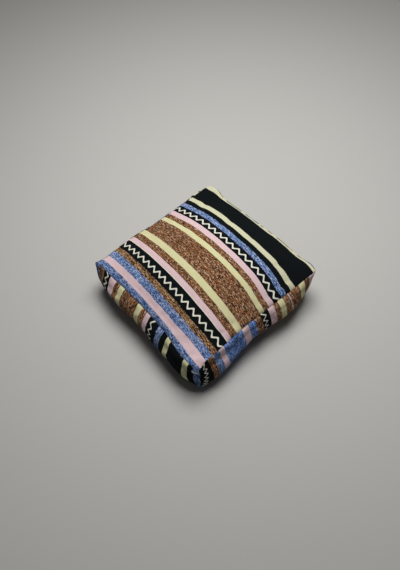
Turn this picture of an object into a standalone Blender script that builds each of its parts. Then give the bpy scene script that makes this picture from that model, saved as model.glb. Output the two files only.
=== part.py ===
"""A square, boxed floor cushion in a striped kilim cover, filled and sewn shut.

It lies flat on the surface. X runs along the stripes and Y across them. The corners are left
(-X, -Y), front (+X, -Y), right (+X, +Y) and back (-X, +Y), and the origin is under the middle of the
cushion's box. The filled cushion is one closed solid: a crowned top panel, a band round the sides that
bulges between its two sewn seams, and a bottom panel that is flat where it rests.
"""

from collections import namedtuple

import bmesh
import bpy
from mathutils import Vector

# Driving sizes, in metres.
SIDE = 0.60  # length of each top edge, from corner to corner
CORNER_HEIGHT = 0.155  # top corners above the surface
CORNER_LIFT = 0.008  # bottom corners above the surface
BAND_CLOTH = 0.154  # height of the band's cloth, measured along its bulge

# The crown of the top panel stands highest a little towards the right of the middle.
CROWN = 0.0812
CROWN_PEAK_X = 0.053
CROWN_PEAK_Y = 0.012
CROWN_ROUNDNESS = 1.88
CROWN_SHOULDER = 0.84

# The underside is flat inside this share of its width, and rises from there to the bottom seam.
REST_SHARE = 0.70
REST_EDGE_ROUNDNESS = 1.7

# A seam is drawn in and lifted most at the middle of its side, and not at all at its corners. The band
# bulges almost as far as its upright corner seams.
SEAM_FLATNESS = 3.0
BULGE_FLATNESS = 8.0

# One row for each side, going round from the left corner. A positive rise lifts the seam.
SideRow = namedtuple("SideRow", "name top_in top_rise top_skew foot_in foot_rise")
SIDES = (
    SideRow("front_left", top_in=0.0150, top_rise=-0.010, top_skew=-0.7, foot_in=0.009, foot_rise=0.029),
    SideRow("front_right", top_in=0.0110, top_rise=-0.005, top_skew=-0.7, foot_in=0.010, foot_rise=0.014),
    SideRow("back_right", top_in=0.0010, top_rise=0.006, top_skew=0.0, foot_in=0.013, foot_rise=0.020),
    SideRow("back_left", top_in=0.0010, top_rise=0.010, top_skew=0.0, foot_in=0.013, foot_rise=0.022),
)

# How far each bottom corner is drawn in along both of its sides.
CornerRow = namedtuple("CornerRow", "name x_sign y_sign foot_in")
CORNERS = (
    CornerRow("left", -1, -1, foot_in=0.021),
    CornerRow("front", 1, -1, foot_in=0.000),
    CornerRow("right", 1, 1, foot_in=0.015),
    CornerRow("back", -1, 1, foot_in=0.014),
)

# Soft troughs (negative) and ridges across the top panel, each from one point to another.
FoldRow = namedtuple("FoldRow", "name start end width height")
FOLDS = (
    FoldRow("pull across the stripes", (-0.115, -0.27), (-0.075, 0.24), width=0.035, height=-0.0035),
    FoldRow("pull beside the crown", (0.165, -0.23), (0.190, 0.22), width=0.040, height=0.0025),
)

# The cage that the Subdivision Surface smooths.
PANEL_CELLS = 20
BAND_CELLS = 6
SMOOTHING_LEVEL = 1
SEAM_CREASE = 1.0
CORNER_CREASE = 0.55

KILIM_COLOUR = (0.205, 0.125, 0.085, 1.0)
KILIM_ROUGHNESS = 0.95


def clear_scene():
    for old in list(bpy.data.objects):
        bpy.data.objects.remove(old, do_unlink=True)


def blend(start, end, share):
    return start + (end - start) * share


def middle_hump(along, flatness=SEAM_FLATNESS):
    """1 at the middle of a side and 0 at its two corners, for along from -1 to 1."""
    return 1.0 - abs(along) ** flatness


def side_corners(index):
    """The corner rows at the start and the end of a side."""
    return CORNERS[index], CORNERS[(index + 1) % len(CORNERS)]


def side_axes(index):
    """The direction along a side, and its outward normal."""
    start, end = side_corners(index)
    direction = Vector((end.x_sign - start.x_sign, end.y_sign - start.y_sign, 0.0)) / 2.0
    outward = Vector((direction.y, -direction.x, 0.0))
    return direction, outward


def top_seam(index, along):
    """A point of the top seam of one side, for along from -1 to 1."""
    side = SIDES[index]
    direction, outward = side_axes(index)
    hump = middle_hump(along)
    drawn_in = side.top_in * hump * (1.0 + side.top_skew * along)
    point = outward * (SIDE / 2.0 - drawn_in) + direction * (along * SIDE / 2.0)
    point.z = CORNER_HEIGHT + side.top_rise * hump
    return point


def foot_seam(index, along):
    """A point of the bottom seam of one side."""
    side = SIDES[index]
    start, end = side_corners(index)
    direction, outward = side_axes(index)
    share = (along + 1.0) / 2.0
    hump = middle_hump(along)
    drawn_in = side.foot_in * hump + blend(start.foot_in, end.foot_in, share)
    shortened = along * SIDE / 2.0 + start.foot_in * (1.0 - share) - end.foot_in * share
    point = outward * (SIDE / 2.0 - drawn_in) + direction * shortened
    point.z = CORNER_LIFT + side.foot_rise * hump
    return point


def band_point(index, along, down):
    """A point of the band round the sides: down runs from 0 at the top seam to 1 at the bottom seam.

    The band's cloth is longer than the straight line between its seams, so it bulges outwards. A shallow
    arc of height h over a chord c is about 8 h h / (3 c) longer than the chord, which gives h. The bulge
    dies away at the sewn upright corners.
    """
    top = top_seam(index, along)
    foot = foot_seam(index, along)
    chord = (foot - top).length
    spare = max(BAND_CLOTH - chord, 0.0)
    bulge = (3.0 / 8.0 * chord * spare * middle_hump(along, BULGE_FLATNESS)) ** 0.5
    direction, outward = side_axes(index)
    return top.lerp(foot, down) + outward * (bulge * 4.0 * down * (1.0 - down))


def panel_point(seam, across_x, across_y):
    """A point inside the four seam curves, each of which seam(index, along) gives.

    across_x and across_y run from -1 to 1. This is the patch that blends opposite seams and takes the
    corners' own blend away once.
    """
    share_x = (across_x + 1.0) / 2.0
    share_y = (across_y + 1.0) / 2.0
    front_left = seam(0, across_x)
    front_right = seam(1, across_y)
    back_right = seam(2, -across_x)
    back_left = seam(3, -across_y)
    corners = blend(
        blend(seam(0, -1.0), seam(0, 1.0), share_x),
        blend(seam(2, 1.0), seam(2, -1.0), share_x),
        share_y,
    )
    return blend(front_left, back_right, share_y) + blend(back_left, front_right, share_x) - corners


def crown_profile(across, peak):
    """1 at the peak and 0 at both ends of -1 to 1."""
    reach = 1.0 + peak if across < peak else 1.0 - peak
    return (1.0 - abs((across - peak) / reach) ** CROWN_ROUNDNESS) ** CROWN_SHOULDER


def fold_height(fold, x, y):
    """The height of one soft fold at a point of the top panel, fading at its sides and its ends."""
    start = Vector(fold.start)
    run = Vector(fold.end) - start
    offset = Vector((x, y)) - start
    share = max(0.0, min(1.0, offset.dot(run) / run.length_squared))
    distance = (offset - run * share).length
    fade = max(0.0, 1.0 - (distance / (2.0 * fold.width)) ** 2)
    return fold.height * fade * fade


def top_point(across_x, across_y):
    point = panel_point(top_seam, across_x, across_y)
    half = SIDE / 2.0
    rise = crown_profile(across_x, CROWN_PEAK_X / half) * crown_profile(across_y, CROWN_PEAK_Y / half)
    point.z += CROWN * rise
    point.z += sum(fold_height(fold, across_x * half, across_y * half) for fold in FOLDS)
    return point


def bottom_point(across_x, across_y):
    point = panel_point(foot_seam, across_x, across_y)
    out = max(abs(across_x), abs(across_y))
    rim = max(0.0, (out - REST_SHARE) / (1.0 - REST_SHARE))
    point.z *= rim**REST_EDGE_ROUNDNESS
    return point


def split_along(mesh, axis, cells):
    """Cuts every edge that runs along one axis of the box into equal cells."""
    edges = [
        edge
        for edge in mesh.edges
        if abs((edge.verts[0].co - edge.verts[1].co).normalized()[axis]) > 0.99
    ]
    bmesh.ops.subdivide_edges(mesh, edges=edges, cuts=cells - 1, use_grid_fill=True)


def crease_seams(mesh, crease):
    """Keeps the sewn edges of the box sharp. The box is still 2 by 2 by 2 here."""
    for edge in mesh.edges:
        start, end = edge.verts[0].co, edge.verts[1].co
        on_sides = [
            axis for axis in range(3) if abs(start[axis]) > 0.999 and abs(start[axis] - end[axis]) < 0.001
        ]
        if len(on_sides) == 2:
            edge[crease] = SEAM_CREASE if 2 in on_sides else CORNER_CREASE


def place_vertices(mesh):
    """Moves the vertices of the 2 by 2 by 2 box onto the cushion."""
    for vertex in mesh.verts:
        x, y, z = vertex.co
        if z > 0.999:
            vertex.co = top_point(x, y)
        elif z < -0.999:
            vertex.co = bottom_point(x, y)
        else:
            down = (1.0 - z) / 2.0
            if y < -0.999:
                vertex.co = band_point(0, x, down)
            elif x > 0.999:
                vertex.co = band_point(1, y, down)
            elif y > 0.999:
                vertex.co = band_point(2, -x, down)
            else:
                vertex.co = band_point(3, -y, down)


def centre_on_origin(mesh):
    """Puts the origin under the middle of the box that the cushion fills."""
    xs = [vertex.co.x for vertex in mesh.verts]
    ys = [vertex.co.y for vertex in mesh.verts]
    middle = Vector(((min(xs) + max(xs)) / 2.0, (min(ys) + max(ys)) / 2.0, 0.0))
    bmesh.ops.translate(mesh, verts=mesh.verts[:], vec=-middle)


def kilim_material():
    material = bpy.data.materials.new("kilim cloth")
    material.use_nodes = True
    shader = material.node_tree.nodes["Principled BSDF"]
    shader.inputs["Base Color"].default_value = KILIM_COLOUR
    shader.inputs["Roughness"].default_value = KILIM_ROUGHNESS
    shader.inputs["Metallic"].default_value = 0.0
    return material


def make_cushion(collection):
    mesh = bmesh.new()
    crease = mesh.edges.layers.float.new("crease_edge")
    bmesh.ops.create_cube(mesh, size=2.0)
    split_along(mesh, 0, PANEL_CELLS)
    split_along(mesh, 1, PANEL_CELLS)
    split_along(mesh, 2, BAND_CELLS)
    crease_seams(mesh, crease)
    place_vertices(mesh)
    centre_on_origin(mesh)

    data = bpy.data.meshes.new("cushion")
    mesh.to_mesh(data)
    mesh.free()
    data.materials.append(kilim_material())
    data.shade_smooth()
    cushion = bpy.data.objects.new("cushion", data)
    collection.objects.link(cushion)

    smooth = cushion.modifiers.new("soft form", "SUBSURF")
    smooth.levels = SMOOTHING_LEVEL
    smooth.render_levels = SMOOTHING_LEVEL
    return cushion


def main():
    clear_scene()
    collection = bpy.data.collections.new("kilim floor cushion")
    bpy.context.scene.collection.children.link(collection)
    make_cushion(collection)


main()
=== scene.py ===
"""A square floor cushion in a striped kilim cover, filled and sewn shut.

X runs along the top panel's stripes and Y across them. The corners are left (-X, -Y), front (+X, -Y),
right (+X, +Y) and back (-X, +Y), and the cushion lies on the surface at Z = 0. The cover is modelled
over the cushion's solid, settled by a short cloth simulation, drawn in along its seams, and coloured by
stripes of plain and melange yarn that follow the cloth.
"""

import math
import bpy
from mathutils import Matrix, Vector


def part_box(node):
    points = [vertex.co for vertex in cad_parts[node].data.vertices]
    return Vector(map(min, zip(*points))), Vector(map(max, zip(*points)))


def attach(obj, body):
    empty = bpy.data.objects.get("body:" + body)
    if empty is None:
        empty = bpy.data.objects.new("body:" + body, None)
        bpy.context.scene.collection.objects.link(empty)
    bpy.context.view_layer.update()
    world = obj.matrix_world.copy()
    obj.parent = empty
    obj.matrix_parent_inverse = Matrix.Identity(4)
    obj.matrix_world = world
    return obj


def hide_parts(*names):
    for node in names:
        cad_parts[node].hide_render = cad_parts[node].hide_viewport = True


bl_info = {
    "name": "Kilim floor cushion",
    "version": (1, 0, 0),
    "blender": (4, 5, 0),
    "location": "3D View > Sidebar > Cushion",
    "description": "A filled floor cushion in a striped kilim cover",
    "category": "Add Mesh",
}

from collections import namedtuple

import bmesh
import bpy
import numpy as np
from bpy.props import FloatProperty, FloatVectorProperty, IntProperty, PointerProperty
from mathutils import Matrix, Vector, noise

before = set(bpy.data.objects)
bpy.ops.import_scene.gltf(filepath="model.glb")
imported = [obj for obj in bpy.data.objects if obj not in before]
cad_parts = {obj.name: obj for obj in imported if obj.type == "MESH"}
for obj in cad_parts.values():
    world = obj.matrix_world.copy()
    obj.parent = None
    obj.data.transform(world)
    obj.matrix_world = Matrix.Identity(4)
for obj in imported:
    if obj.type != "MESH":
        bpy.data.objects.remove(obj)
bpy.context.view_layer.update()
CUSHION_LOW, CUSHION_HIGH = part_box("cushion")

MM_PER_METRE = 1000.0
CM_PER_METRE = 100.0

# The cover starts as a 2 by 2 by 2 box. A point this far out lies on one of its faces, and an edge this
# straight runs along one of its axes.
ON_FACE = 0.999
ALONG_AXIS = 0.99

# The name of the map that holds each point's place on the flat cloth.
CLOTH_MAP = "cloth"

# One row for each side, going round from the left corner, in metres. A positive rise lifts the seam. The
# stripes of a band lean towards its end by lean_start and lean_end for each unit of height.
SideRow = namedtuple("SideRow", "name top_in top_rise top_skew foot_in foot_rise lean_start lean_end")
SIDES = (
    SideRow(
        "front left", top_in=0.0150, top_rise=-0.010, top_skew=-0.7, foot_in=0.009, foot_rise=0.029,
        lean_start=0.15, lean_end=0.14,
    ),
    SideRow(
        "front right", top_in=0.0110, top_rise=-0.005, top_skew=-0.7, foot_in=0.010, foot_rise=0.014,
        lean_start=0.00, lean_end=0.03,
    ),
    SideRow(
        "back right", top_in=0.0010, top_rise=0.006, top_skew=0.0, foot_in=0.013, foot_rise=0.020,
        lean_start=0.10, lean_end=0.10,
    ),
    SideRow(
        "back left", top_in=0.0010, top_rise=0.010, top_skew=0.0, foot_in=0.013, foot_rise=0.022,
        lean_start=0.10, lean_end=0.10,
    ),
)

# How far each bottom corner is drawn in along both of its sides, in metres.
CornerRow = namedtuple("CornerRow", "name x_sign y_sign foot_in")
CORNERS = (
    CornerRow("left", -1, -1, foot_in=0.021),
    CornerRow("front", 1, -1, foot_in=0.000),
    CornerRow("right", 1, 1, foot_in=0.015),
    CornerRow("back", -1, 1, foot_in=0.014),
)

# Soft troughs (negative) and ridges across the top panel, each from one point to another, in metres.
FoldRow = namedtuple("FoldRow", "name start end width height")
FOLDS = (
    FoldRow("pull across the stripes", (-0.115, -0.27), (-0.075, 0.24), width=0.035, height=-0.0035),
    FoldRow("pull beside the crown", (0.165, -0.23), (0.190, 0.22), width=0.040, height=0.0025),
)

# Places where the filling pushes the cloth out or a seam pulls it in: where, how far round about, and by
# how much, in millimetres on the cushion before it is centred. The left and the right band or seam are the
# two nearer ones, and the far one is the back right.
PullRow = namedtuple("PullRow", "name spot reach shift")
PULLS = (
    PullRow("left corner", spot=(-300, -300, 80), reach=(100, 100, 90), shift=(-11, -7, 1)),
    PullRow("tip of the left corner", spot=(-305, -300, 150), reach=(55, 60, 50), shift=(-11, -1, 2)),
    PullRow("left seam by the left", spot=(-270, -300, 155), reach=(70, 50, 50), shift=(0, 5, 2)),
    PullRow("left band by the left", spot=(-170, -325, 103), reach=(150, 60, 50), shift=(0, -8, 0)),
    PullRow("middle of the left band", spot=(-50, -320, 95), reach=(170, 80, 60), shift=(0, -3, 0)),
    PullRow("left foot, drawn in", spot=(-110, -320, 35), reach=(120, 60, 50), shift=(0, 5, 0)),
    PullRow("left foot, pushed out", spot=(80, -330, 45), reach=(70, 60, 60), shift=(0, -5, -1)),
    PullRow("left foot, drawn in again", spot=(165, -330, 45), reach=(60, 60, 60), shift=(0, 5, 0)),
    PullRow("left band by the front", spot=(230, -330, 50), reach=(260, 100, 90), shift=(0, -12, -3)),
    PullRow("left seam by the front", spot=(215, -300, 150), reach=(130, 60, 50), shift=(0, -13.5, -2)),
    PullRow("cheek of the front corner", spot=(262, -305, 150), reach=(42, 45, 50), shift=(5, -6, -3)),
    PullRow("tip of the front corner", spot=(300, -300, 155), reach=(45, 45, 45), shift=(-3, 1, -12)),
    PullRow("front corner", spot=(300, -300, 80), reach=(50, 50, 120), shift=(4, 5, 0)),
    PullRow("right band by the front", spot=(325, -225, 45), reach=(90, 140, 75), shift=(15, 0, -3)),
    PullRow("right seam by the front", spot=(300, -190, 150), reach=(50, 120, 45), shift=(5, 0, 0)),
    PullRow("right band under its corner", spot=(310, -235, 130), reach=(40, 100, 32), shift=(-7, 0, 0)),
    PullRow("right band under its seam", spot=(315, -120, 115), reach=(50, 170, 45), shift=(-8, 0, 0)),
    PullRow("hollow of the right band", spot=(325, -45, 50), reach=(60, 60, 70), shift=(-7, 0, 0)),
    PullRow("right band by the right", spot=(330, 140, 75), reach=(90, 120, 70), shift=(13, 0, 0)),
    PullRow("shoulder of the right band", spot=(315, 160, 128), reach=(50, 130, 32), shift=(7, 0, 2)),
    PullRow("far seam rolls over", spot=(10, 305, 160), reach=(260, 36, 50), shift=(0, 0, -2)),
    PullRow("far seam stands up", spot=(40, 302, 163), reach=(290, 20, 30), shift=(0, 2, 6)),
    PullRow("far seam", spot=(110, 300, 155), reach=(260, 70, 50), shift=(0, 6, 2)),
    PullRow("far band under its seam", spot=(0, 335, 105), reach=(300, 50, 70), shift=(0, -12, 0)),
    PullRow("back left seam", spot=(-300, -150, 155), reach=(80, 150, 80), shift=(-6, 0, 0)),
    PullRow("back corner", spot=(-300, 290, 155), reach=(90, 160, 90), shift=(-8, -1, 0)),
    PullRow("ear at the back corner", spot=(-258, 302, 160), reach=(53, 28, 36), shift=(0, 10, 13)),
    PullRow("back band by the back corner", spot=(-308, 230, 140), reach=(30, 95, 24), shift=(-5, 0, 3.5)),
    PullRow("lip at the right corner", spot=(262, 302, 155), reach=(58, 30, 35), shift=(0, 7, 7)),
    PullRow("right corner", spot=(300, 305, 150), reach=(45, 45, 50), shift=(2, 3, 0)),
    PullRow("far band by the right", spot=(268, 322, 130), reach=(52, 35, 40), shift=(0, 17, 8)),
)

# Stripes of yarn, each with its width in centimetres, from one edge of the panel to the other.
TOP_STRIPES = (
    ("blue", 2.3), ("pink", 2.8), ("blue", 3.1), ("rust", 2.3), ("black", 4.9), ("white", 0.3),
    ("pink", 2.0), ("brown", 2.9), ("cream", 2.4), ("brown", 8.95), ("cream", 2.15), ("brown", 2.4),
    ("pink", 2.3), ("black", 3.9), ("blue", 2.4), ("black", 2.4), ("ivory", 2.3), ("black", 8.65),
    ("ivory", 1.55),
)
FRONT_LEFT_STRIPES = (
    ("blue", 1.8), ("rust", 2.2), ("black", 3.7), ("pink", 2.85), ("brown", 2.75), ("cream", 2.5),
    ("brown", 8.4), ("cream", 2.6), ("brown", 2.5), ("pink", 2.2), ("black", 5.4), ("blue", 2.8),
    ("black", 2.7), ("cream", 2.35), ("black", 8.15), ("cream", 2.35), ("black", 1.95), ("blue", 2.8),
)
# The front right band's wide blue stripes carry painted shade: a deeper, more saturated copy of the blue,
# as the blue looks in shade.
FRONT_RIGHT_STRIPES = (
    ("black", 4.85), ("brown", 2.25), ("blue", 3.0), ("pink", 2.35), ("shaded blue", 9.35), ("pink", 3.1),
    ("shaded blue", 3.2), ("brown", 2.8), ("black", 3.8), ("pink", 2.6), ("brown", 2.5), ("cream", 2.2),
    ("brown", 3.2), ("pink", 0.35), ("brown", 5.45), ("cream", 2.7), ("brown", 3.0), ("pink", 3.3),
)
BACK_RIGHT_STRIPES = (
    ("pink", 0.7), ("black", 1.2), ("blue", 3.5), ("brown", 4.4), ("cream", 2.3), ("brown", 9.0),
    ("cream", 2.2), ("brown", 2.5), ("pink", 2.5), ("black", 4.6), ("blue", 2.5), ("black", 2.8),
    ("cream", 2.1), ("black", 8.8), ("cream", 2.2), ("rust", 2.8), ("blue", 2.9), ("pink", 3.0),
)
BACK_LEFT_STRIPES = (
    ("ivory", 4.2), ("brown", 1.1), ("ivory", 2.5), ("black", 4.9), ("brown", 3.2), ("blue", 3.0),
    ("pink", 2.5), ("blue", 9.0), ("pink", 2.4), ("blue", 2.6), ("brown", 2.7), ("black", 4.6),
    ("pink", 2.5), ("brown", 2.8), ("cream", 2.3), ("brown", 6.6), ("cream", 2.2), ("brown", 2.4),
)
BOTTOM_STRIPES = (("black", 60.0),)

# Zigzags of pale yarn along the black stripes, in centimetres on the flat cloth. A zigzag swings about its
# centre. Up to its start, which is below 0 where it lies before the edge of the cloth, it crosses the
# stripe only once. Rise is the share of a period in which it crosses before it comes back. Tight is how
# much more of the zigzag is packed in near the edge, or how much less below 0, and slant is how far its
# centre moves for each centimetre.
ZigzagRow = namedtuple(
    "ZigzagRow", "centre swing period start thickness rise tight slant", defaults=(0.0, 0.0)
)
TOP_ZIGZAGS = (
    ZigzagRow(centre=12.80, swing=0.77, period=3.46, start=-3.64, thickness=0.80, rise=0.50, tight=3.4),
    ZigzagRow(centre=40.80, swing=0.74, period=3.40, start=-3.25, thickness=0.80, rise=0.50),
)
FRONT_LEFT_ZIGZAGS = (
    ZigzagRow(centre=5.88, swing=0.60, period=2.45, start=-2.45, thickness=0.70, rise=0.33),
    ZigzagRow(centre=33.87, swing=0.66, period=2.70, start=-1.29, thickness=0.70, rise=0.48),
)
FRONT_RIGHT_ZIGZAGS = (
    ZigzagRow(
        centre=2.92, swing=0.65, period=1.50, start=5.15, thickness=0.62, rise=0.45, tight=-4.3,
        slant=-0.13,
    ),
    ZigzagRow(centre=32.50, swing=0.80, period=2.75, start=-2.75, thickness=0.70, rise=0.50),
)
BACK_RIGHT_ZIGZAGS = (
    ZigzagRow(centre=31.00, swing=0.80, period=3.30, start=-3.00, thickness=0.78, rise=0.45),
)
BACK_LEFT_ZIGZAGS = (
    ZigzagRow(centre=10.60, swing=0.80, period=3.30, start=-2.30, thickness=0.78, rise=0.45),
    ZigzagRow(centre=43.30, swing=0.80, period=3.30, start=-3.10, thickness=0.78, rise=0.45),
)

# A short bar of pale blue weft just under the top seam, in centimetres on the flat cloth, with a painted
# highlight: it is coloured brighter than the yarn where the seam's ridge catches the light.
WeftHighlightRow = namedtuple("WeftHighlightRow", "down across half_height half_width")
FRONT_LEFT_WEFT_HIGHLIGHTS = (WeftHighlightRow(down=2.90, across=58.70, half_height=1.25, half_width=1.65),)

# The panels of cloth: the four sides of the band in the order of SIDES, then the top and the bottom.
PanelRow = namedtuple("PanelRow", "name stripes zigzags bars", defaults=((), ()))
PANELS = (
    PanelRow("front left band", FRONT_LEFT_STRIPES, FRONT_LEFT_ZIGZAGS, FRONT_LEFT_WEFT_HIGHLIGHTS),
    PanelRow("front right band", FRONT_RIGHT_STRIPES, FRONT_RIGHT_ZIGZAGS),
    PanelRow("back right band", BACK_RIGHT_STRIPES, BACK_RIGHT_ZIGZAGS),
    PanelRow("back left band", BACK_LEFT_STRIPES, BACK_LEFT_ZIGZAGS),
    PanelRow("top panel", TOP_STRIPES, TOP_ZIGZAGS),
    PanelRow("bottom panel", BOTTOM_STRIPES),
)
TOP_PANEL = 4
BOTTOM_PANEL = 5

# The top panel is sewn in a little askew, so its stripes drift off their straight place by so many
# millimetres towards the far edge. A drift sets in and dies away between two shares of the panel's width,
# along the stripes (x) and across them (y). Shares outside the panel carry it on to the edge.
FROM_EDGE = (-2.0, -1.0)
TO_EDGE = (2.0, 3.0)
FAR_RIM = (0.88, 0.96)
DriftRow = namedtuple("DriftRow", "name height from_x to_x from_y to_y")
TOP_DRIFTS = (
    DriftRow("start of the stripes", 2.6, FROM_EDGE, (0.03, 0.13), FROM_EDGE, TO_EDGE),
    DriftRow("middle of the stripes", 1.6, (0.22, 0.36), (0.60, 0.74), FROM_EDGE, TO_EDGE),
    DriftRow("first stripe by the front corner", 4.2, (0.66, 0.82), (0.84, 1.00), FROM_EDGE, (0.03, 0.15)),
    DriftRow("far rim", -2.5, FROM_EDGE, TO_EDGE, FAR_RIM, TO_EDGE),
    DriftRow("far rim from the middle on", 4.0, (0.32, 0.55), TO_EDGE, FAR_RIM, TO_EDGE),
    DriftRow("far rim by the right corner", 3.0, (0.80, 0.90), (0.92, 1.00), FAR_RIM, TO_EDGE),
)

# Drifts that are bell-shaped along the stripes: their height, where they are highest, and their width.
BellRow = namedtuple("BellRow", "name height middle width from_y")
TOP_BELLS = (
    BellRow("hump of the farther half", 4.375, middle=0.32, width=0.13, from_y=(0.45, 0.75)),
    BellRow("dip of the farther half", -3.5, middle=0.55, width=0.09, from_y=(0.45, 0.75)),
    BellRow("far rim by the back corner", -5.0, middle=0.045, width=0.045, from_y=FAR_RIM),
)

# The nearer half is turned. From one end of its stripes to the other its drift changes by this much, and
# the turn dies away between two shares of the way across.
TURN = 18.0
TURN_TO = (0.40, 0.52)

# The far ends of the stripes bend back, most at one share of the way across and less on both sides of it.
END_BEND = -7.2
END_FROM = (0.78, 0.96)
END_MIDDLE = 0.62
END_REACH = 0.26

# While it settles, the cloth is held fast below the first height and free above the second. The wrinkles
# that are kept set in between two heights too, and those of the far sides calm down between two distances
# from the middle. All in metres.
HELD_HEIGHTS = (0.010, 0.035)
WRINKLE_HEIGHTS = (0.008, 0.030)
CALM_DISTANCES = (0.20, 0.29)

# Melange yarn is spun from short lengths of other dyes. Each colour starts at its share of the yarn.
BLUE_SPECKS = (
    (0.00, (0.006, 0.014, 0.045)), (0.25, (0.030, 0.070, 0.205)), (0.46, (0.100, 0.185, 0.430)),
    (0.67, (0.240, 0.360, 0.630)), (0.87, (0.540, 0.620, 0.840)),
)
BROWN_SPECKS = (
    (0.00, (0.009, 0.006, 0.006)), (0.26, (0.050, 0.019, 0.010)), (0.44, (0.150, 0.056, 0.023)),
    (0.62, (0.340, 0.135, 0.045)), (0.80, (0.430, 0.260, 0.145)), (0.93, (0.680, 0.520, 0.380)),
)
RUST_SPECKS = (
    (0.00, (0.005, 0.005, 0.006)), (0.27, (0.052, 0.021, 0.010)), (0.47, (0.165, 0.072, 0.026)),
    (0.67, (0.350, 0.185, 0.076)), (0.86, (0.700, 0.500, 0.310)),
)
MELANGES = (BLUE_SPECKS, BROWN_SPECKS, RUST_SPECKS)

# How much of a stripe is blue, brown and rust melange. The other yarns are plain.
PLAIN_YARN = (0.0, 0.0, 0.0)
MELANGE_SHARES = {
    "blue": (1.0, 0.0, 0.0),
    # Painted shade: the front right band's wide blue stripes are the blue melange over a deeper, more
    # saturated blue, as the blue looks in shade.
    "shaded blue": (0.86, 0.0, 0.0),
    "brown": (0.0, 1.0, 0.0),
    "rust": (0.0, 0.0, 1.0),
}

# Longer and thicker lengths among the short ones, in metres, and how much of the colour they make.
SLUB_LENGTH = 0.0130
SLUB_WIDTH = 0.0020
SLUB_SHARE = 0.16

# The zigzag: how quickly its tightness dies away from the edge, how steeply it crosses before its start,
# how blunt its corners are, and how crisp its edge is. All but the bluntness are for each metre.
TIGHT_FADE = -18.0
LEAD_IN = -80.0
BLUNTNESS = 0.6
EDGE_CRISPNESS = 2500.0


class CushionSizes(bpy.types.PropertyGroup):
    """The form of the filled cushion."""

    side: FloatProperty(
        name="Side", description="Length of each top edge", default=0.60, unit="LENGTH"
    )
    corner_height: FloatProperty(
        name="Corner Height", description="Top corners above the surface", default=0.155, unit="LENGTH"
    )
    corner_lift: FloatProperty(
        name="Corner Lift", description="Bottom corners above the surface", default=0.008, unit="LENGTH"
    )
    band_cloth: FloatProperty(
        name="Band Cloth", description="Height of the band's cloth", default=0.154, unit="LENGTH"
    )
    crown: FloatProperty(
        name="Crown", description="Rise of the top panel's middle", default=0.0812, unit="LENGTH"
    )
    crown_peak_x: FloatProperty(
        name="Crown X", description="Where the crown is highest", default=0.053, unit="LENGTH"
    )
    crown_peak_y: FloatProperty(
        name="Crown Y", description="Where the crown is highest", default=0.012, unit="LENGTH"
    )
    crown_roundness: FloatProperty(
        name="Crown Roundness", description="Flatness of the crown's middle", default=1.88
    )
    crown_shoulder: FloatProperty(
        name="Crown Shoulder", description="Steepness towards the seams", default=0.84
    )
    seam_flatness: FloatProperty(
        name="Seam Flatness", description="How evenly a seam is drawn in", default=3.0
    )
    bulge_flatness: FloatProperty(
        name="Bulge Flatness", description="How far the band's bulge reaches to its corners", default=8.0
    )
    rest_share: FloatProperty(
        name="Rest Share", description="Share of the underside that lies flat", default=0.70
    )
    rest_edge_roundness: FloatProperty(
        name="Rest Edge Roundness", description="How slowly the underside rises", default=1.7
    )
    panel_cells: IntProperty(
        name="Panel Cells", description="Mesh cells along each side", default=80, min=8
    )
    band_cells: IntProperty(
        name="Band Cells", description="Mesh cells down the band", default=20, min=4
    )
    smoothing: IntProperty(
        name="Smoothing", description="Subdivision level", default=1, min=0
    )


class SettleSettings(bpy.types.PropertyGroup):
    """How the cloth settles over its filling."""

    frames: IntProperty(
        name="Frames", description="Length of the cloth simulation", default=24, min=2
    )
    pressure: FloatProperty(
        name="Pressure", description="Push of the filling", default=4.0
    )
    gravity: FloatProperty(
        name="Gravity", description="Share of the scene's gravity", default=0.06
    )
    slack: FloatProperty(
        name="Slack", description="Share by which each panel is cut too large", default=0.020
    )
    gather: FloatProperty(
        name="Gather", description="Share by which a seam is sewn too short", default=0.045
    )
    gather_width: FloatProperty(
        name="Gather Width", description="Width of the gathered cloth", default=0.030, unit="LENGTH"
    )
    unevenness: FloatProperty(
        name="Unevenness", description="Height of the filling's lumps", default=0.0006, unit="LENGTH"
    )
    lump: FloatProperty(
        name="Lump", description="Size of the filling's lumps", default=0.030, unit="LENGTH"
    )
    rounds: IntProperty(
        name="Rounds", description="Smoothing that parts wrinkles from the form", default=44, min=1
    )
    limit: FloatProperty(
        name="Limit", description="Greatest height of a wrinkle", default=0.006, unit="LENGTH"
    )
    strength: FloatProperty(
        name="Strength", description="Share of the wrinkles that is kept", default=0.9
    )
    calm: FloatProperty(
        name="Calm", description="Share of the wrinkles that the two far sides lose", default=0.65
    )


class SeamSizes(bpy.types.PropertyGroup):
    """The sewn edges."""

    lip: FloatProperty(
        name="Lip", description="Width of the rounded cloth beside a seam", default=0.0030, unit="LENGTH"
    )
    depth: FloatProperty(
        name="Depth", description="How deep the seam lies", default=0.0028, unit="LENGTH"
    )


def dye(name, description, default):
    """A colour property."""
    return FloatVectorProperty(
        name=name, description=description, default=default, size=3, min=0.0, max=1.0, subtype="COLOR"
    )


class YarnColours(bpy.types.PropertyGroup):
    """The dyed yarns."""

    cream: dye("Cream", "Pale yellow-green wool", (0.626, 0.605, 0.356))
    ivory: dye("Ivory", "Paler cream wool", (0.583, 0.585, 0.410))
    pink: dye("Pink", "Pale pink wool", (0.670, 0.500, 0.530))
    black: dye("Black", "Black wool", (0.0045, 0.0063, 0.0075))
    # Painted shade: the deeper, more saturated blue that the front right band's blue melange lies over, as
    # the blue looks in shade.
    shaded_blue: dye("Deep Blue", "Dye under the darker blue melange", (0.00, 0.20, 0.90))
    white: dye("White", "Off-white wool", (0.72, 0.72, 0.63))
    # The bar's colour: pale blue weft with a painted highlight, brighter than the yarn where the seam's
    # ridge catches the light.
    bar: dye("Bar", "Pale blue wool", (0.78, 0.86, 0.98))


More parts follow.
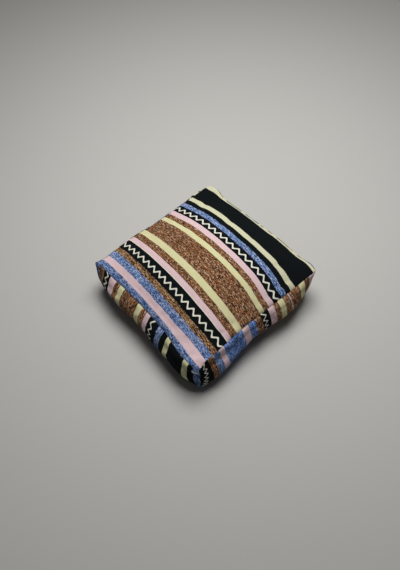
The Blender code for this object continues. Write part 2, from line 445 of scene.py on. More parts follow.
class StageSettings(bpy.types.PropertyGroup):
    """Floor, lights and camera."""

    floor: dye("Floor", "Colour of the floor", (0.42, 0.42, 0.41))
    ambient: FloatProperty(
        name="Ambient", description="Strength of the even light", default=0.065
    )
    key: FloatProperty(
        name="Key", description="Power of the main light", default=83.0, unit="POWER"
    )
    azimuth: FloatProperty(
        name="Azimuth", description="Camera's turn round the cushion", default=math.radians(49.602),
        unit="ROTATION",
    )
    elevation: FloatProperty(
        name="Elevation", description="Camera's height angle", default=math.radians(57.09),
        unit="ROTATION",
    )
    roll: FloatProperty(
        name="Roll", description="Camera's tilt", default=math.radians(-2.014), unit="ROTATION"
    )
    distance: FloatProperty(
        name="Distance", description="From the camera to its target", default=2.1252, unit="LENGTH"
    )
    target: FloatVectorProperty(
        name="Target", description="What the camera looks at", default=(0.0417, -0.0567, 0.155), size=3,
        subtype="XYZ",
    )
    lens: FloatProperty(
        name="Lens", description="Focal length in millimetres", default=35.50
    )


def blend(start, end, share):
    """A value or a point between two others."""
    return start + (end - start) * share


def smooth_step(low, high, value):
    """0 below low and 1 above high, with an eased change between them."""
    share = min(max((value - low) / (high - low), 0.0), 1.0)
    return share * share * (3.0 - 2.0 * share)


def middle_hump(along, flatness):
    """1 at the middle of a side and 0 at its two corners, for along from -1 to 1."""
    return 1.0 - abs(along) ** flatness


def side_corners(index):
    """The corner rows at the start and the end of a side."""
    return CORNERS[index], CORNERS[(index + 1) % len(CORNERS)]


def side_axes(index):
    """The direction along a side, and its outward normal."""
    start, end = side_corners(index)
    direction = Vector((end.x_sign - start.x_sign, end.y_sign - start.y_sign, 0.0)) / 2.0
    outward = Vector((direction.y, -direction.x, 0.0))
    return direction, outward


def top_seam(sizes, index, along):
    """A point of the top seam of one side, for along from -1 to 1."""
    side = SIDES[index]
    direction, outward = side_axes(index)
    hump = middle_hump(along, sizes.seam_flatness)
    drawn_in = side.top_in * hump * (1.0 + side.top_skew * along)
    point = outward * (sizes.side / 2.0 - drawn_in) + direction * (along * sizes.side / 2.0)
    point.z = sizes.corner_height + side.top_rise * hump
    return point


def foot_seam(sizes, index, along):
    """A point of the bottom seam of one side."""
    side = SIDES[index]
    start, end = side_corners(index)
    direction, outward = side_axes(index)
    share = (along + 1.0) / 2.0
    hump = middle_hump(along, sizes.seam_flatness)
    drawn_in = side.foot_in * hump + blend(start.foot_in, end.foot_in, share)
    shortened = along * sizes.side / 2.0 + start.foot_in * (1.0 - share) - end.foot_in * share
    point = outward * (sizes.side / 2.0 - drawn_in) + direction * shortened
    point.z = sizes.corner_lift + side.foot_rise * hump
    return point


def band_point(sizes, index, along, down):
    """A point of the band round the sides: down runs from 0 at the top seam to 1 at the bottom seam.

    The band's cloth is longer than the straight line between its seams, so it bulges outwards. A shallow
    arc of height h over a chord c is about 8 h h / (3 c) longer than the chord, which gives h.
    """
    top = top_seam(sizes, index, along)
    foot = foot_seam(sizes, index, along)
    chord = (foot - top).length
    spare = max(sizes.band_cloth - chord, 0.0)
    bulge = (3.0 / 8.0 * chord * spare * middle_hump(along, sizes.bulge_flatness)) ** 0.5
    direction, outward = side_axes(index)
    return top.lerp(foot, down) + outward * (bulge * 4.0 * down * (1.0 - down))


def panel_point(sizes, seam, across_x, across_y):
    """A point inside the four seam curves, each of which seam(sizes, index, along) gives."""
    share_x = (across_x + 1.0) / 2.0
    share_y = (across_y + 1.0) / 2.0
    front_left = seam(sizes, 0, across_x)
    front_right = seam(sizes, 1, across_y)
    back_right = seam(sizes, 2, -across_x)
    back_left = seam(sizes, 3, -across_y)
    corners = blend(
        blend(seam(sizes, 0, -1.0), seam(sizes, 0, 1.0), share_x),
        blend(seam(sizes, 2, 1.0), seam(sizes, 2, -1.0), share_x),
        share_y,
    )
    return blend(front_left, back_right, share_y) + blend(back_left, front_right, share_x) - corners


def crown_profile(sizes, across, peak):
    """1 at the peak and 0 at both ends of -1 to 1."""
    reach = 1.0 + peak if across < peak else 1.0 - peak
    slack = max(1.0 - abs((across - peak) / reach) ** sizes.crown_roundness, 0.0)
    return slack**sizes.crown_shoulder


def fold_height(fold, x, y):
    """The height of one soft fold at a point of the top panel, fading at its sides and its ends."""
    start = Vector(fold.start)
    run = Vector(fold.end) - start
    offset = Vector((x, y)) - start
    share = max(0.0, min(1.0, offset.dot(run) / run.length_squared))
    distance = (offset - run * share).length
    fade = max(0.0, 1.0 - (distance / (2.0 * fold.width)) ** 2)
    return fold.height * fade * fade


def top_point(sizes, across_x, across_y):
    """A point of the crowned top panel, for both from -1 to 1."""
    point = panel_point(sizes, top_seam, across_x, across_y)
    half = sizes.side / 2.0
    rise = crown_profile(sizes, across_x, sizes.crown_peak_x / half)
    rise *= crown_profile(sizes, across_y, sizes.crown_peak_y / half)
    point.z += sizes.crown * rise
    point.z += sum(fold_height(fold, across_x * half, across_y * half) for fold in FOLDS)
    return point


def bottom_point(sizes, across_x, across_y):
    """A point of the bottom panel, which lies flat inside its rim."""
    point = panel_point(sizes, foot_seam, across_x, across_y)
    out = max(abs(across_x), abs(across_y))
    rim = max(0.0, (out - sizes.rest_share) / (1.0 - sizes.rest_share))
    point.z *= rim**sizes.rest_edge_roundness
    return point


def pulled(point):
    """A point of the cover after the pushes and pulls near it."""
    moved = point.copy()
    for pull in PULLS:
        offset = [
            (here - there / MM_PER_METRE) / (reach / MM_PER_METRE)
            for here, there, reach in zip(point, pull.spot, pull.reach)
        ]
        fade = max(0.0, 1.0 - sum(share * share for share in offset))
        shift = Vector([size / MM_PER_METRE for size in pull.shift])
        moved += shift * (fade * fade)
    return moved


def split_along(mesh, axis, cells):
    """Cuts every edge that runs along one axis of the box into equal cells."""
    edges = [
        edge
        for edge in mesh.edges
        if abs((edge.verts[0].co - edge.verts[1].co).normalized()[axis]) > ALONG_AXIS
    ]
    bmesh.ops.subdivide_edges(mesh, edges=edges, cuts=cells - 1, use_grid_fill=True)


def panel_of(face):
    """The panel that a face of the 2 by 2 by 2 box belongs to."""
    middle = face.calc_center_median()
    if middle.z > ON_FACE:
        return TOP_PANEL
    if middle.z < -ON_FACE:
        return BOTTOM_PANEL
    if middle.y < -ON_FACE:
        return 0
    if middle.x > ON_FACE:
        return 1
    if middle.y > ON_FACE:
        return 2
    return 3


def along_and_down(panel, spot):
    """Where a point of the box lies on a band: along from -1 to 1, down from 0 to 1."""
    along = (spot.x, spot.y, -spot.x, -spot.y)[panel]
    return along, (1.0 - spot.z) / 2.0


def place(sizes, panel, spot):
    """The cushion's point for a point of the box."""
    if panel == TOP_PANEL:
        return top_point(sizes, spot.x, spot.y)
    if panel == BOTTOM_PANEL:
        return bottom_point(sizes, spot.x, spot.y)
    along, down = along_and_down(panel, spot)
    return band_point(sizes, panel, along, down)


def cloth_shares(sizes, cells):
    """How far along the top panel's cloth each grid point lies, as shares of the whole in X and in Y."""
    steps = [2.0 * step / cells - 1.0 for step in range(cells + 1)]
    points = np.array([[top_point(sizes, x, y) for y in steps] for x in steps])
    shares = []
    for axis in (0, 1):
        lengths = np.linalg.norm(np.diff(points, axis=axis), axis=-1)
        reached = np.cumsum(lengths, axis=axis)
        reached = np.insert(reached, 0, 0.0, axis=axis)
        shares.append(reached / np.take(reached, [-1], axis=axis))
    return shares


def window(value, rise, fall):
    """1 between the end of the rise and the start of the fall, and 0 outside them."""
    return smooth_step(*rise, value) - smooth_step(*fall, value)


def bell(value, middle, width):
    """1 at the middle, and soon 0 to both sides of it."""
    return math.exp(-(((value - middle) / width) ** 2))


def top_drift(share_x, share_y):
    """How far the top panel's stripes lie off their straight place, in metres."""
    drift = TURN * (0.5 - share_x) * (1.0 - smooth_step(*TURN_TO, share_y))
    end_fade = max(0.0, 1.0 - ((share_y - END_MIDDLE) / END_REACH) ** 2)
    drift += END_BEND * smooth_step(*END_FROM, share_x) * end_fade
    for row in TOP_DRIFTS:
        along = window(share_x, row.from_x, row.to_x)
        across = window(share_y, row.from_y, row.to_y)
        drift += row.height * along * across
    for row in TOP_BELLS:
        drift += row.height * bell(share_x, row.middle, row.width) * smooth_step(*row.from_y, share_y)
    return drift / MM_PER_METRE


def cloth_point(sizes, panel, spot, shares, cells):
    """The point of the flat cloth, in metres: X along the stripes and Y across them."""
    if panel == TOP_PANEL:
        column = round((spot.x + 1.0) / 2.0 * cells)
        row = round((spot.y + 1.0) / 2.0 * cells)
        share_x = shares[0][column][row]
        share_y = shares[1][column][row]
        return Vector((share_x * sizes.side, share_y * sizes.side - top_drift(share_x, share_y)))
    if panel == BOTTOM_PANEL:
        return Vector(((spot.x + 1.0) / 2.0 * sizes.side, (spot.y + 1.0) / 2.0 * sizes.side))
    along, down = along_and_down(panel, spot)
    side = SIDES[panel]
    share = (along + 1.0) / 2.0
    down_cloth = down * sizes.band_cloth
    lean = blend(side.lean_start, side.lean_end, share)
    return Vector((down_cloth, share * sizes.side - lean * down_cloth))


def cover_cage(sizes):
    """The cover as a grid of cells over the solid, with its panels and its flat cloth marked."""
    mesh = bmesh.new()
    bmesh.ops.create_cube(mesh, size=2.0)
    split_along(mesh, 0, sizes.panel_cells)
    split_along(mesh, 1, sizes.panel_cells)
    split_along(mesh, 2, sizes.band_cells)
    cloth_map = mesh.loops.layers.uv.new(CLOTH_MAP)
    shares = cloth_shares(sizes, sizes.panel_cells)
    for face in mesh.faces:
        face.material_index = panel_of(face)
        face.smooth = True
        for loop in face.loops:
            spot = loop.vert.co
            loop[cloth_map].uv = cloth_point(sizes, face.material_index, spot, shares, sizes.panel_cells)
    places = {}
    for vertex in mesh.verts:
        panels = [face.material_index for face in vertex.link_faces]
        places[vertex] = place(sizes, max(panels), vertex.co)
    step = step_to_frame(places.values())
    for vertex, point in places.items():
        vertex.co = pulled(point) + step
    return mesh


def step_to_frame(points):
    """The step that brings the cushion over the middle of the solid's box."""
    xs = [point.x for point in points]
    ys = [point.y for point in points]
    middle = Vector(((min(xs) + max(xs)) / 2.0, (min(ys) + max(ys)) / 2.0, 0.0))
    frame_middle = (CUSHION_LOW + CUSHION_HIGH) / 2.0
    frame_middle.z = 0.0
    return frame_middle - middle


def on_seam(edge):
    """Whether two panels meet at an edge."""
    panels = {face.material_index for face in edge.link_faces}
    return len(panels) == 2


def draw_in_seams(mesh, seam):
    """Rounds the cloth into each seam and lets the stitched line lie below it."""
    edges = [edge for edge in mesh.edges if on_seam(edge)]
    bmesh.ops.bevel(
        mesh, geom=edges, affect="EDGES", offset=seam.lip, offset_type="OFFSET", segments=2, profile=0.5,
        material=-1,
    )
    mesh.normal_update()
    stitched = {vertex for edge in mesh.edges if on_seam(edge) for vertex in edge.verts}
    for vertex in stitched:
        vertex.co -= vertex.normal * seam.depth


def seam_distance(points, seam_points, slices=64):
    """The distance from each point to the nearest seam point, found in slices to save memory."""
    nearest = [
        np.linalg.norm(part[:, None, :] - seam_points[None, :, :], axis=2).min(axis=1)
        for part in np.array_split(points, slices)
    ]
    return np.concatenate(nearest)


def smoothed(values, edges, rounds):
    """Averages each vertex's value with those of its neighbours, again and again."""
    counts = np.bincount(edges.ravel(), minlength=len(values))[:, None]
    for _ in range(rounds):
        total = np.zeros_like(values)
        np.add.at(total, edges[:, 0], values[edges[:, 1]])
        np.add.at(total, edges[:, 1], values[edges[:, 0]])
        values = (values + total / counts) / 2.0
    return values


def edges_that_share(rest, edges, from_seam, reach):
    """The edges but for those across the cloth beside a seam, which is smoothed along its length alone."""
    start, end = edges[:, 0], edges[:, 1]
    lengths = np.linalg.norm(rest[start] - rest[end], axis=1)
    crossing = np.abs(from_seam[start] - from_seam[end]) > 0.5 * lengths
    beside = np.minimum(from_seam[start], from_seam[end]) < reach
    return edges[~(crossing & beside)]


def simulated_points(cover, settle):
    """Runs the cloth simulation on the cover and returns its settled vertices."""
    cloth = cover.modifiers.new("filling", "CLOTH")
    physics = cloth.settings
    physics.quality = 8
    physics.mass = 0.3
    physics.air_damping = 3.0
    physics.tension_stiffness = 60.0
    physics.compression_stiffness = 60.0
    physics.shear_stiffness = 20.0
    physics.bending_stiffness = 0.8
    physics.use_pressure = True
    physics.uniform_pressure_force = settle.pressure
    physics.vertex_group_mass = "held"
    physics.vertex_group_shrink = "gathered"
    physics.shrink_min = -settle.slack
    physics.shrink_max = settle.gather
    physics.effector_weights.gravity = settle.gravity
    cloth.collision_settings.use_collision = False
    cloth.point_cache.frame_start = 1
    cloth.point_cache.frame_end = settle.frames
    scene = bpy.context.scene
    for step in range(1, settle.frames + 1):
        scene.frame_set(step)
    settled = cover.evaluated_get(bpy.context.evaluated_depsgraph_get())
    points = np.array([vertex.co for vertex in settled.data.vertices])
    cover.modifiers.remove(cloth)
    scene.frame_set(1)
    return points


def settle_cover(mesh, settle):
    """Gives the cover the wrinkles of filled cloth, which a simulation finds, and keeps its form."""
    mesh.verts.index_update()
    rest = np.array([vertex.co for vertex in mesh.verts])
    edges = np.array([[vertex.index for vertex in edge.verts] for edge in mesh.edges])
    seam_line = sorted({vertex.index for edge in mesh.edges if on_seam(edge) for vertex in edge.verts})
    from_seam = seam_distance(rest, rest[seam_line])
    near_seam = 1.0 - from_seam / settle.gather_width

    # The filling is a little lumpy, which is where the wrinkles start.
    for vertex in mesh.verts:
        vertex.co += vertex.normal * (noise.noise(vertex.co / settle.lump) * settle.unevenness)
    cover = new_piece("cover", mesh.copy())
    held = cover.vertex_groups.new(name="held")
    gathered = cover.vertex_groups.new(name="gathered")
    for index, (point, nearness) in enumerate(zip(rest, near_seam)):
        held.add([index], 1.0 - smooth_step(*HELD_HEIGHTS, point[2]), "REPLACE")
        gathered.add([index], max(nearness, 0.0), "REPLACE")
    moves = simulated_points(cover, settle) - rest
    bpy.data.objects.remove(cover, do_unlink=True)

    # The wrinkles are what the settled cloth has beyond its smooth moves. High ones are held down.
    shared = edges_that_share(rest, edges, from_seam, settle.gather_width)
    wrinkles = moves - smoothed(moves, shared, settle.rounds)
    heights = np.linalg.norm(wrinkles, axis=1, keepdims=True)
    wrinkles *= settle.strength * settle.limit / (settle.limit + heights)

    # The two far sides are calmer, and the underside keeps its place.
    far = np.maximum(-rest[:, 0], rest[:, 1])
    calm = np.array([smooth_step(*CALM_DISTANCES, reach) for reach in far])
    wrinkles *= 1.0 - settle.calm * calm[:, None]
    for vertex, point, wrinkle in zip(mesh.verts, rest, wrinkles):
        vertex.co = Vector(point + wrinkle * smooth_step(*WRINKLE_HEIGHTS, point[2]))


def new_group(name, inputs, outputs):
    """A shader node group with the named inputs and outputs, and its input and output nodes."""
    group = bpy.data.node_groups.new(name, "ShaderNodeTree")
    for socket_name, kind, default in inputs:
        socket = group.interface.new_socket(name=socket_name, in_out="INPUT", socket_type=kind)
        if default is not None:
            socket.default_value = default
    for socket_name, kind in outputs:
        group.interface.new_socket(name=socket_name, in_out="OUTPUT", socket_type=kind)
    entry = group.nodes.new("NodeGroupInput")
    leave = group.nodes.new("NodeGroupOutput")
    return group, entry, leave


def link(tree, source, target):
    """Joins an output socket to an input socket."""
    tree.links.new(source, target)


def math_node(tree, operation, *values, clamp=False):
    """A Math node whose inputs are sockets or numbers. Returns its output."""
    node = tree.nodes.new("ShaderNodeMath")
    node.operation = operation
    node.use_clamp = clamp
    for socket, value in zip(node.inputs, values):
        if isinstance(value, (int, float)):
            socket.default_value = value
        else:
            link(tree, value, socket)
    return node.outputs[0]


def mix_colours(tree, share, first, second):
    """A Mix node for colours. Returns its output."""
    node = tree.nodes.new("ShaderNodeMix")
    node.data_type = "RGBA"
    node.clamp_factor = True
    for socket, value in ((node.inputs[0], share), (node.inputs[6], first), (node.inputs[7], second)):
        if isinstance(value, bpy.types.NodeSocket):
            link(tree, value, socket)
        else:
            socket.default_value = value
    return node.outputs[2]


def stepped_ramp(tree, factor, stops):
    """A Color Ramp node with hard steps at its (position, colour) stops. Returns its colour output."""
    node = tree.nodes.new("ShaderNodeValToRGB")
    ramp = node.color_ramp
    ramp.interpolation = "CONSTANT"
    while len(ramp.elements) > 1:
        ramp.elements.remove(ramp.elements[-1])
    ramp.elements[0].position = stops[0][0]
    ramp.elements[0].color = (*stops[0][1], 1.0)
    for position, colour in stops[1:]:
        element = ramp.elements.new(position)
        element.color = (*colour, 1.0)
    link(tree, factor, node.inputs[0])
    return node.outputs[0]


def cloth_parts(tree, cloth):
    """How far a point lies along the cloth and across it."""
    parts = tree.nodes.new("ShaderNodeSeparateXYZ")
    link(tree, cloth, parts.inputs[0])
    return parts.outputs[0], parts.outputs[1]


def cloth_noise(tree, cloth, scales, detail):
    """A Noise Texture on the flat cloth, drawn out by its two scales. Returns its value."""
    stretch = tree.nodes.new("ShaderNodeVectorMath")
    stretch.operation = "MULTIPLY"
    link(tree, cloth, stretch.inputs[0])
    stretch.inputs[1].default_value = (*scales, 1.0)
    texture = tree.nodes.new("ShaderNodeTexNoise")
    texture.inputs["Scale"].default_value = 1.0
    texture.inputs["Detail"].default_value = detail
    link(tree, stretch.outputs[0], texture.inputs["Vector"])
    return texture.outputs[0]


def place_group(tree, name, cloth, values=None):
    """A node for a shader group, on the flat cloth and with its own values for the named inputs."""
    node = tree.nodes.new("ShaderNodeGroup")
    node.node_tree = bpy.data.node_groups[name]
    link(tree, cloth, node.inputs["Cloth"])
    for socket_name, value in (values or {}).items():
        node.inputs[socket_name].default_value = value
    return node


def make_weave_group():
    """Weft-faced weave: rows of short floats that dip between the warps, each row set off by half."""
    group, entry, leave = new_group(
        "kilim weave",
        [
            ("Cloth", "NodeSocketVector", None),
            ("Warp Pitch", "NodeSocketFloat", 0.0042),
            ("Weft Pitch", "NodeSocketFloat", 0.0017),
        ],
        [("Height", "NodeSocketFloat"), ("Dip", "NodeSocketFloat")],
    )
    along, across = cloth_parts(group, entry.outputs["Cloth"])
    wefts = math_node(group, "DIVIDE", across, entry.outputs["Weft Pitch"])
    warps = math_node(group, "DIVIDE", along, entry.outputs["Warp Pitch"])
    odd_row = math_node(group, "PINGPONG", math_node(group, "FLOOR", wefts), 1.0)
    shifted = math_node(group, "ADD", warps, math_node(group, "MULTIPLY", odd_row, 0.5))
    across_float = math_node(group, "PINGPONG", math_node(group, "MULTIPLY", shifted, 2.0), 1.0)
    across_row = math_node(group, "PINGPONG", math_node(group, "MULTIPLY", wefts, 2.0), 1.0)
    arch = math_node(group, "POWER", across_float, 0.6)
    yarn = math_node(group, "POWER", across_row, 0.5)
    height = math_node(group, "MULTIPLY", arch, yarn)
    link(group, height, leave.inputs["Height"])
    link(group, math_node(group, "SUBTRACT", 1.0, height), leave.inputs["Dip"])


def make_speck_group():
    """Melange yarn: short lengths, drawn out along the stripe, each with a random value from 0 to 1."""
    group, entry, leave = new_group(
        "melange specks",
        [
            ("Cloth", "NodeSocketVector", None),
            ("Length", "NodeSocketFloat", 0.0062),
            ("Width", "NodeSocketFloat", 0.0013),
            ("Seed", "NodeSocketFloat", 0.0),
        ],
        [("Value", "NodeSocketFloat")],
    )
    along, across = cloth_parts(group, entry.outputs["Cloth"])
    joined = group.nodes.new("ShaderNodeCombineXYZ")
    link(group, math_node(group, "DIVIDE", along, entry.outputs["Length"]), joined.inputs[0])
    link(group, math_node(group, "DIVIDE", across, entry.outputs["Width"]), joined.inputs[1])
    link(group, entry.outputs["Seed"], joined.inputs[2])
    cells = group.nodes.new("ShaderNodeTexVoronoi")
    cells.voronoi_dimensions = "3D"
    cells.inputs["Scale"].default_value = 1.0
    link(group, joined.outputs[0], cells.inputs["Vector"])
    split = group.nodes.new("ShaderNodeSeparateColor")
    link(group, cells.outputs["Color"], split.inputs[0])
    link(group, split.outputs[0], leave.inputs["Value"])


def make_zigzag_group():
    """A mask for one zigzag line with blunt corners. Sizes are in metres on the cloth."""
    group, entry, leave = new_group(
        "zigzag line",
        [
            ("Cloth", "NodeSocketVector", None),
            ("Centre", "NodeSocketFloat", 0.1),
            ("Swing", "NodeSocketFloat", 0.0088),
            ("Period", "NodeSocketFloat", 0.0345),
            ("Start", "NodeSocketFloat", 0.0),
            ("Thickness", "NodeSocketFloat", 0.0078),
            ("Rise", "NodeSocketFloat", 0.5),
            ("Tight", "NodeSocketFloat", 0.0),
            ("Slant", "NodeSocketFloat", 0.0),
        ],
        [("Mask", "NodeSocketFloat")],
    )
    along, across = cloth_parts(group, entry.outputs["Cloth"])
    near_edge = math_node(group, "EXPONENT", math_node(group, "MULTIPLY", along, TIGHT_FADE))
    tightened = math_node(group, "MULTIPLY", near_edge, entry.outputs["Tight"])
    place_along = math_node(group, "SUBTRACT", along, tightened)
    past_start = math_node(group, "SUBTRACT", place_along, entry.outputs["Start"])

    travelled = math_node(group, "MAXIMUM", past_start, 0.0)
    share = math_node(group, "FRACT", math_node(group, "DIVIDE", travelled, entry.outputs["Period"]))
    rising = math_node(group, "DIVIDE", share, entry.outputs["Rise"])
    share_left = math_node(group, "SUBTRACT", 1.0, share)
    fall = math_node(group, "SUBTRACT", 1.0, entry.outputs["Rise"])
    falling = math_node(group, "DIVIDE", share_left, fall)
    before_start = math_node(group, "MULTIPLY", past_start, LEAD_IN, clamp=True)
    level = math_node(group, "MAXIMUM", math_node(group, "MINIMUM", rising, falling), before_start)

    squared = math_node(group, "MULTIPLY", level, level)
    eased = math_node(group, "MULTIPLY", squared, math_node(group, "MULTIPLY_ADD", level, -2.0, 3.0))
    blunt_part = math_node(group, "MULTIPLY", eased, BLUNTNESS)
    rounded = math_node(group, "MULTIPLY_ADD", level, 1.0 - BLUNTNESS, blunt_part)
    side = math_node(group, "MULTIPLY_ADD", rounded, 2.0, -1.0)

    slant, centre = entry.outputs["Slant"], entry.outputs["Centre"]
    middle = math_node(group, "MULTIPLY_ADD", along, slant, centre)
    line = math_node(group, "MULTIPLY_ADD", side, entry.outputs["Swing"], middle)
    off_line = math_node(group, "ABSOLUTE", math_node(group, "SUBTRACT", across, line))
    half_thickness = math_node(group, "MULTIPLY", entry.outputs["Thickness"], 0.5)
    inside = math_node(group, "SUBTRACT", half_thickness, off_line)
    mask = math_node(group, "MULTIPLY_ADD", inside, EDGE_CRISPNESS, 0.5, clamp=True)
    link(group, mask, leave.inputs["Mask"])


def make_yarn_group():
    """Puts the melange yarns, the zigzag and the weave's shade on the plain stripes."""
    group, entry, leave = new_group(
        "kilim yarns",
        [
            ("Cloth", "NodeSocketVector", None),
            ("Plain", "NodeSocketColor", None),
            ("Melange Shares", "NodeSocketColor", None),
            ("Zigzag", "NodeSocketFloat", 0.0),
            ("Zigzag Colour", "NodeSocketColor", (0.72, 0.72, 0.63, 1.0)),
        ],
        [("Colour", "NodeSocketColor"), ("Height", "NodeSocketFloat"), ("Roughness", "NodeSocketFloat")],
    )
    cloth = entry.outputs["Cloth"]
    shares = group.nodes.new("ShaderNodeSeparateColor")
    link(group, entry.outputs["Melange Shares"], shares.inputs[0])
    specks = place_group(group, "melange specks", cloth)
    slubs = place_group(
        group, "melange specks", cloth, {"Length": SLUB_LENGTH, "Width": SLUB_WIDTH, "Seed": 7.3}
    )
    colour = entry.outputs["Plain"]
    for share, stops in zip(shares.outputs, MELANGES):
        short = stepped_ramp(group, specks.outputs["Value"], stops)
        long = stepped_ramp(group, slubs.outputs["Value"], stops)
        melange = mix_colours(group, SLUB_SHARE, short, long)
        colour = mix_colours(group, share, colour, melange)
    colour = mix_colours(group, entry.outputs["Zigzag"], colour, entry.outputs["Zigzag Colour"])

    # The dye is uneven in streaks along the weft and in broader patches.
    streaks = cloth_noise(group, cloth, scales=(28.0, 420.0), detail=2.0)
    patches = cloth_noise(group, cloth, scales=(55.0, 70.0), detail=2.0)
    unevenness = math_node(group, "ADD", streaks, patches)
    brightness = math_node(group, "MULTIPLY_ADD", unevenness, 0.16, 0.85)

    # Less light reaches the dips between the floats.
    weave = place_group(group, "kilim weave", cloth)
    shade = math_node(group, "MULTIPLY_ADD", weave.outputs["Dip"], -0.38, 1.10)
    shaded = group.nodes.new("ShaderNodeVectorMath")
    shaded.operation = "SCALE"
    link(group, colour, shaded.inputs[0])
    link(group, math_node(group, "MULTIPLY", brightness, shade), shaded.inputs["Scale"])
    link(group, shaded.outputs[0], leave.inputs["Colour"])

    # The wool is fuzzy, and the zigzag's yarn lies on top of the weave.
    fuzz = cloth_noise(group, cloth, scales=(900.0, 1500.0), detail=3.0)
    height = math_node(group, "MULTIPLY_ADD", fuzz, 0.35, weave.outputs["Height"])
    raised = math_node(group, "MULTIPLY_ADD", entry.outputs["Zigzag"], 0.4, height)
    link(group, raised, leave.inputs["Height"])
    roughness = math_node(group, "MULTIPLY_ADD", streaks, 0.16, 0.82)
    link(group, roughness, leave.inputs["Roughness"])


def stripe_stops(stripes, values, otherwise, whole):
    """The stops of a stepped ramp for a panel's stripes. Yarns that values leaves out get otherwise."""
    stops = []
    reached = 0.0
    for yarn, width in stripes:
        stops.append((reached / whole, values.get(yarn, otherwise)))
        reached += width
    return stops


def zigzag_mask(tree, cloth, zigzags):
    """A mask for all the zigzags of a panel."""
    mask = 0.0
    for row in zigzags:
        values = {
            "Centre": row.centre / CM_PER_METRE,
            "Swing": row.swing / CM_PER_METRE,
            "Period": row.period / CM_PER_METRE,
            "Start": row.start / CM_PER_METRE,
            "Thickness": row.thickness / CM_PER_METRE,
            "Rise": row.rise,
            "Tight": row.tight / CM_PER_METRE,
            "Slant": row.slant,
        }
        line = place_group(tree, "zigzag line", cloth, values)
        mask = math_node(tree, "MAXIMUM", mask, line.outputs["Mask"])
    return mask


def weft_highlight_mask(tree, along, across, bar):
    """A mask for one short bar of pale weft with a painted highlight."""
    down = math_node(tree, "COMPARE", along, bar.down / CM_PER_METRE, bar.half_height / CM_PER_METRE)
    beside = math_node(tree, "COMPARE", across, bar.across / CM_PER_METRE, bar.half_width / CM_PER_METRE)
    return math_node(tree, "MULTIPLY", down, beside)


def stripe_colours(tree, cloth, panel, sizes, yarns):
    """The plain colour and the melange shares of a panel's stripes and of its bars of pale weft with a
    painted highlight.
    """
    plain_yarns = {
        "cream": tuple(yarns.cream),
        "ivory": tuple(yarns.ivory),
        "pink": tuple(yarns.pink),
        "black": tuple(yarns.black),
        "white": tuple(yarns.white),
        "shaded blue": tuple(yarns.shaded_blue),
    }
    along, across = cloth_parts(tree, cloth)

    # The stripes' edges are a little uneven from weft to weft.
    wobble = cloth_noise(tree, cloth, scales=(230.0, 60.0), detail=2.0)
    off_straight = math_node(tree, "MULTIPLY_ADD", wobble, 0.0022, -0.0011)
    share = math_node(tree, "DIVIDE", math_node(tree, "ADD", across, off_straight), sizes.side)

    whole = sizes.side * CM_PER_METRE
    under_melange = plain_yarns["black"]
    plain = stepped_ramp(tree, share, stripe_stops(panel.stripes, plain_yarns, under_melange, whole))
    melange = stepped_ramp(tree, share, stripe_stops(panel.stripes, MELANGE_SHARES, PLAIN_YARN, whole))
    # Each bar is pale weft, painted brighter as a highlight where the seam's ridge catches the light.
    for bar in panel.bars:
        mask = weft_highlight_mask(tree, along, across, bar)
        plain = mix_colours(tree, mask, plain, (*yarns.bar, 1.0))
        melange = mix_colours(tree, mask, melange, (*PLAIN_YARN, 1.0))
    return plain, melange


def panel_material(panel, sizes, yarns):
    """The finish of one panel of the cover."""
    material = bpy.data.materials.new(f"kilim {panel.name}")
    material.use_nodes = True
    tree = material.node_tree
    shader = tree.nodes["Principled BSDF"]
    shader.inputs["Metallic"].default_value = 0.0
    shader.inputs["Specular IOR Level"].default_value = 0.03
    shader.inputs["Sheen Weight"].default_value = 0.01
    shader.inputs["Sheen Roughness"].default_value = 0.60

    cloth_map = tree.nodes.new("ShaderNodeUVMap")
    cloth_map.uv_map = CLOTH_MAP
    cloth = cloth_map.outputs[0]
    plain, melange = stripe_colours(tree, cloth, panel, sizes, yarns)
    yarn = place_group(tree, "kilim yarns", cloth, {"Zigzag Colour": (*yarns.white, 1.0)})
    link(tree, plain, yarn.inputs["Plain"])
    link(tree, melange, yarn.inputs["Melange Shares"])
    if panel.zigzags:
        link(tree, zigzag_mask(tree, cloth, panel.zigzags), yarn.inputs["Zigzag"])
    link(tree, yarn.outputs["Colour"], shader.inputs["Base Color"])
    link(tree, yarn.outputs["Roughness"], shader.inputs["Roughness"])

    bump = tree.nodes.new("ShaderNodeBump")
    bump.inputs["Strength"].default_value = 0.6
    bump.inputs["Distance"].default_value = 0.0009
    link(tree, yarn.outputs["Height"], bump.inputs["Height"])
    link(tree, bump.outputs[0], shader.inputs["Normal"])
    return material


def plain_material(name, colour, roughness):
    """A material of one even colour."""
    material = bpy.data.materials.new(name)
    material.use_nodes = True
    shader = material.node_tree.nodes["Principled BSDF"]
    shader.inputs["Base Color"].default_value = (*colour, 1.0)
    shader.inputs["Roughness"].default_value = roughness
    return material


def new_piece(name, mesh):
    """An object at the origin that holds the finished mesh."""
    data = bpy.data.meshes.new(name)
    mesh.to_mesh(data)
    mesh.free()
    piece = bpy.data.objects.new(name, data)
    bpy.context.scene.collection.objects.link(piece)
    return piece


def add_world(stage):
    """The even light from all sides."""
    world = bpy.data.worlds.new("studio")
    world.use_nodes = True
    background = world.node_tree.nodes["Background"]
    background.inputs["Color"].default_value = (0.94, 0.96, 1.0, 1.0)
    background.inputs["Strength"].default_value = stage.ambient
    bpy.context.scene.world = world


def add_lights(stage):
    """One soft lamp over the farther half of the cushion, aimed at the origin."""
    data = bpy.data.lights.new("key light", "AREA")
    data.energy = stage.key
    data.size = 1.5
    data.color = (1.0, 0.975, 0.94)
    lamp = bpy.data.objects.new("key light", data)
    lamp.location = (-0.40, 0.60, 2.45)
    lamp.rotation_mode = "QUATERNION"
    lamp.rotation_quaternion = (-lamp.location).to_track_quat("-Z", "Y")
    bpy.context.scene.collection.objects.link(lamp)


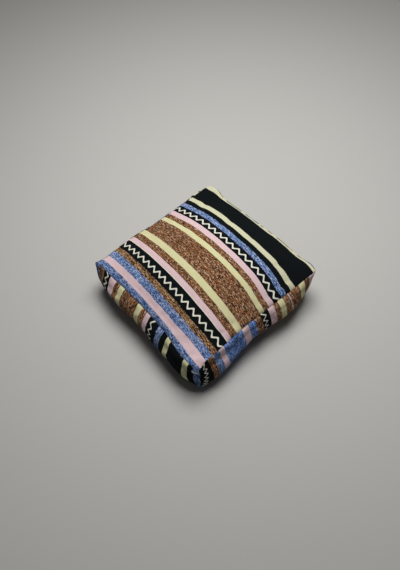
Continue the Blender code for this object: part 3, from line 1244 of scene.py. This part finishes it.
def add_camera(stage):
    """The camera looks at its target from an azimuth and an elevation, and is rolled a little."""
    azimuth = stage.azimuth
    away = math.cos(stage.elevation)
    back = Vector((math.sin(azimuth) * away, -math.cos(azimuth) * away, math.sin(stage.elevation)))
    level = Vector((math.cos(azimuth), math.sin(azimuth), 0.0))
    upright = back.cross(level)
    right = level * math.cos(stage.roll) + upright * math.sin(stage.roll)
    up = upright * math.cos(stage.roll) - level * math.sin(stage.roll)
    turn = Matrix((right, up, back)).transposed()
    data = bpy.data.cameras.new("camera")
    data.sensor_width = 36.0
    data.lens = stage.lens
    camera = bpy.data.objects.new("camera", data)
    camera.rotation_mode = "QUATERNION"
    camera.rotation_quaternion = turn.to_quaternion()
    camera.location = Vector(stage.target) + back * stage.distance
    bpy.context.scene.collection.objects.link(camera)
    bpy.context.scene.camera = camera


class KILIM_OT_cushion(bpy.types.Operator):
    """Makes the filled cushion in its striped cover"""

    bl_idname = "kilim.cushion"
    bl_label = "Filled Cushion"

    def execute(self, context):
        sizes = context.scene.cushion_sizes
        mesh = cover_cage(sizes)
        settle_cover(mesh, context.scene.cushion_settle)
        draw_in_seams(mesh, context.scene.cushion_seams)
        cushion = new_piece("kilim_cushion", mesh)
        make_weave_group()
        make_speck_group()
        make_zigzag_group()
        make_yarn_group()
        for panel in PANELS:
            cushion.data.materials.append(panel_material(panel, sizes, context.scene.cushion_yarns))
        smooth = cushion.modifiers.new("soft form", "SUBSURF")
        smooth.levels = sizes.smoothing
        smooth.render_levels = sizes.smoothing
        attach(cushion, "root")
        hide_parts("cushion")
        return {"FINISHED"}


class KILIM_OT_stage(bpy.types.Operator):
    """Makes the floor, the lights and the camera"""

    bl_idname = "kilim.stage"
    bl_label = "Stage"

    def execute(self, context):
        stage = context.scene.cushion_stage
        mesh = bmesh.new()
        bmesh.ops.create_grid(mesh, x_segments=1, y_segments=1, size=8.0)
        floor = new_piece("floor", mesh)
        floor.data.materials.append(plain_material("pale floor", stage.floor, roughness=0.9))
        add_world(stage)
        add_lights(stage)
        add_camera(stage)
        context.scene.view_settings.view_transform = "Standard"
        return {"FINISHED"}


class KILIM_PT_cushion(bpy.types.Panel):
    """Sizes, yarns and stage of the cushion"""

    bl_idname = "KILIM_PT_cushion"
    bl_label = "Kilim Cushion"
    bl_space_type = "VIEW_3D"
    bl_region_type = "UI"
    bl_category = "Cushion"

    def draw(self, context):
        self.layout.operator("kilim.cushion")
        self.layout.operator("kilim.stage")
        scene = context.scene
        groups = (
            scene.cushion_sizes, scene.cushion_settle, scene.cushion_seams, scene.cushion_yarns,
            scene.cushion_stage,
        )
        for group in groups:
            column = self.layout.column()
            for name in group.__annotations__:
                column.prop(group, name)


CLASSES = (
    CushionSizes,
    SettleSettings,
    SeamSizes,
    YarnColours,
    StageSettings,
    KILIM_OT_cushion,
    KILIM_OT_stage,
    KILIM_PT_cushion,
)


def register():
    """Registers the classes and gives the scene its settings."""
    for cls in CLASSES:
        bpy.utils.register_class(cls)
    bpy.types.Scene.cushion_sizes = PointerProperty(type=CushionSizes)
    bpy.types.Scene.cushion_settle = PointerProperty(type=SettleSettings)
    bpy.types.Scene.cushion_seams = PointerProperty(type=SeamSizes)
    bpy.types.Scene.cushion_yarns = PointerProperty(type=YarnColours)
    bpy.types.Scene.cushion_stage = PointerProperty(type=StageSettings)


def unregister():
    """Takes back what register did."""
    del bpy.types.Scene.cushion_stage
    del bpy.types.Scene.cushion_yarns
    del bpy.types.Scene.cushion_seams
    del bpy.types.Scene.cushion_settle
    del bpy.types.Scene.cushion_sizes
    for cls in reversed(CLASSES):
        bpy.utils.unregister_class(cls)


def main():
    """Makes the cushion and its stage."""
    register()
    bpy.ops.kilim.cushion()
    bpy.ops.kilim.stage()


if __name__ == "__main__":
    main()
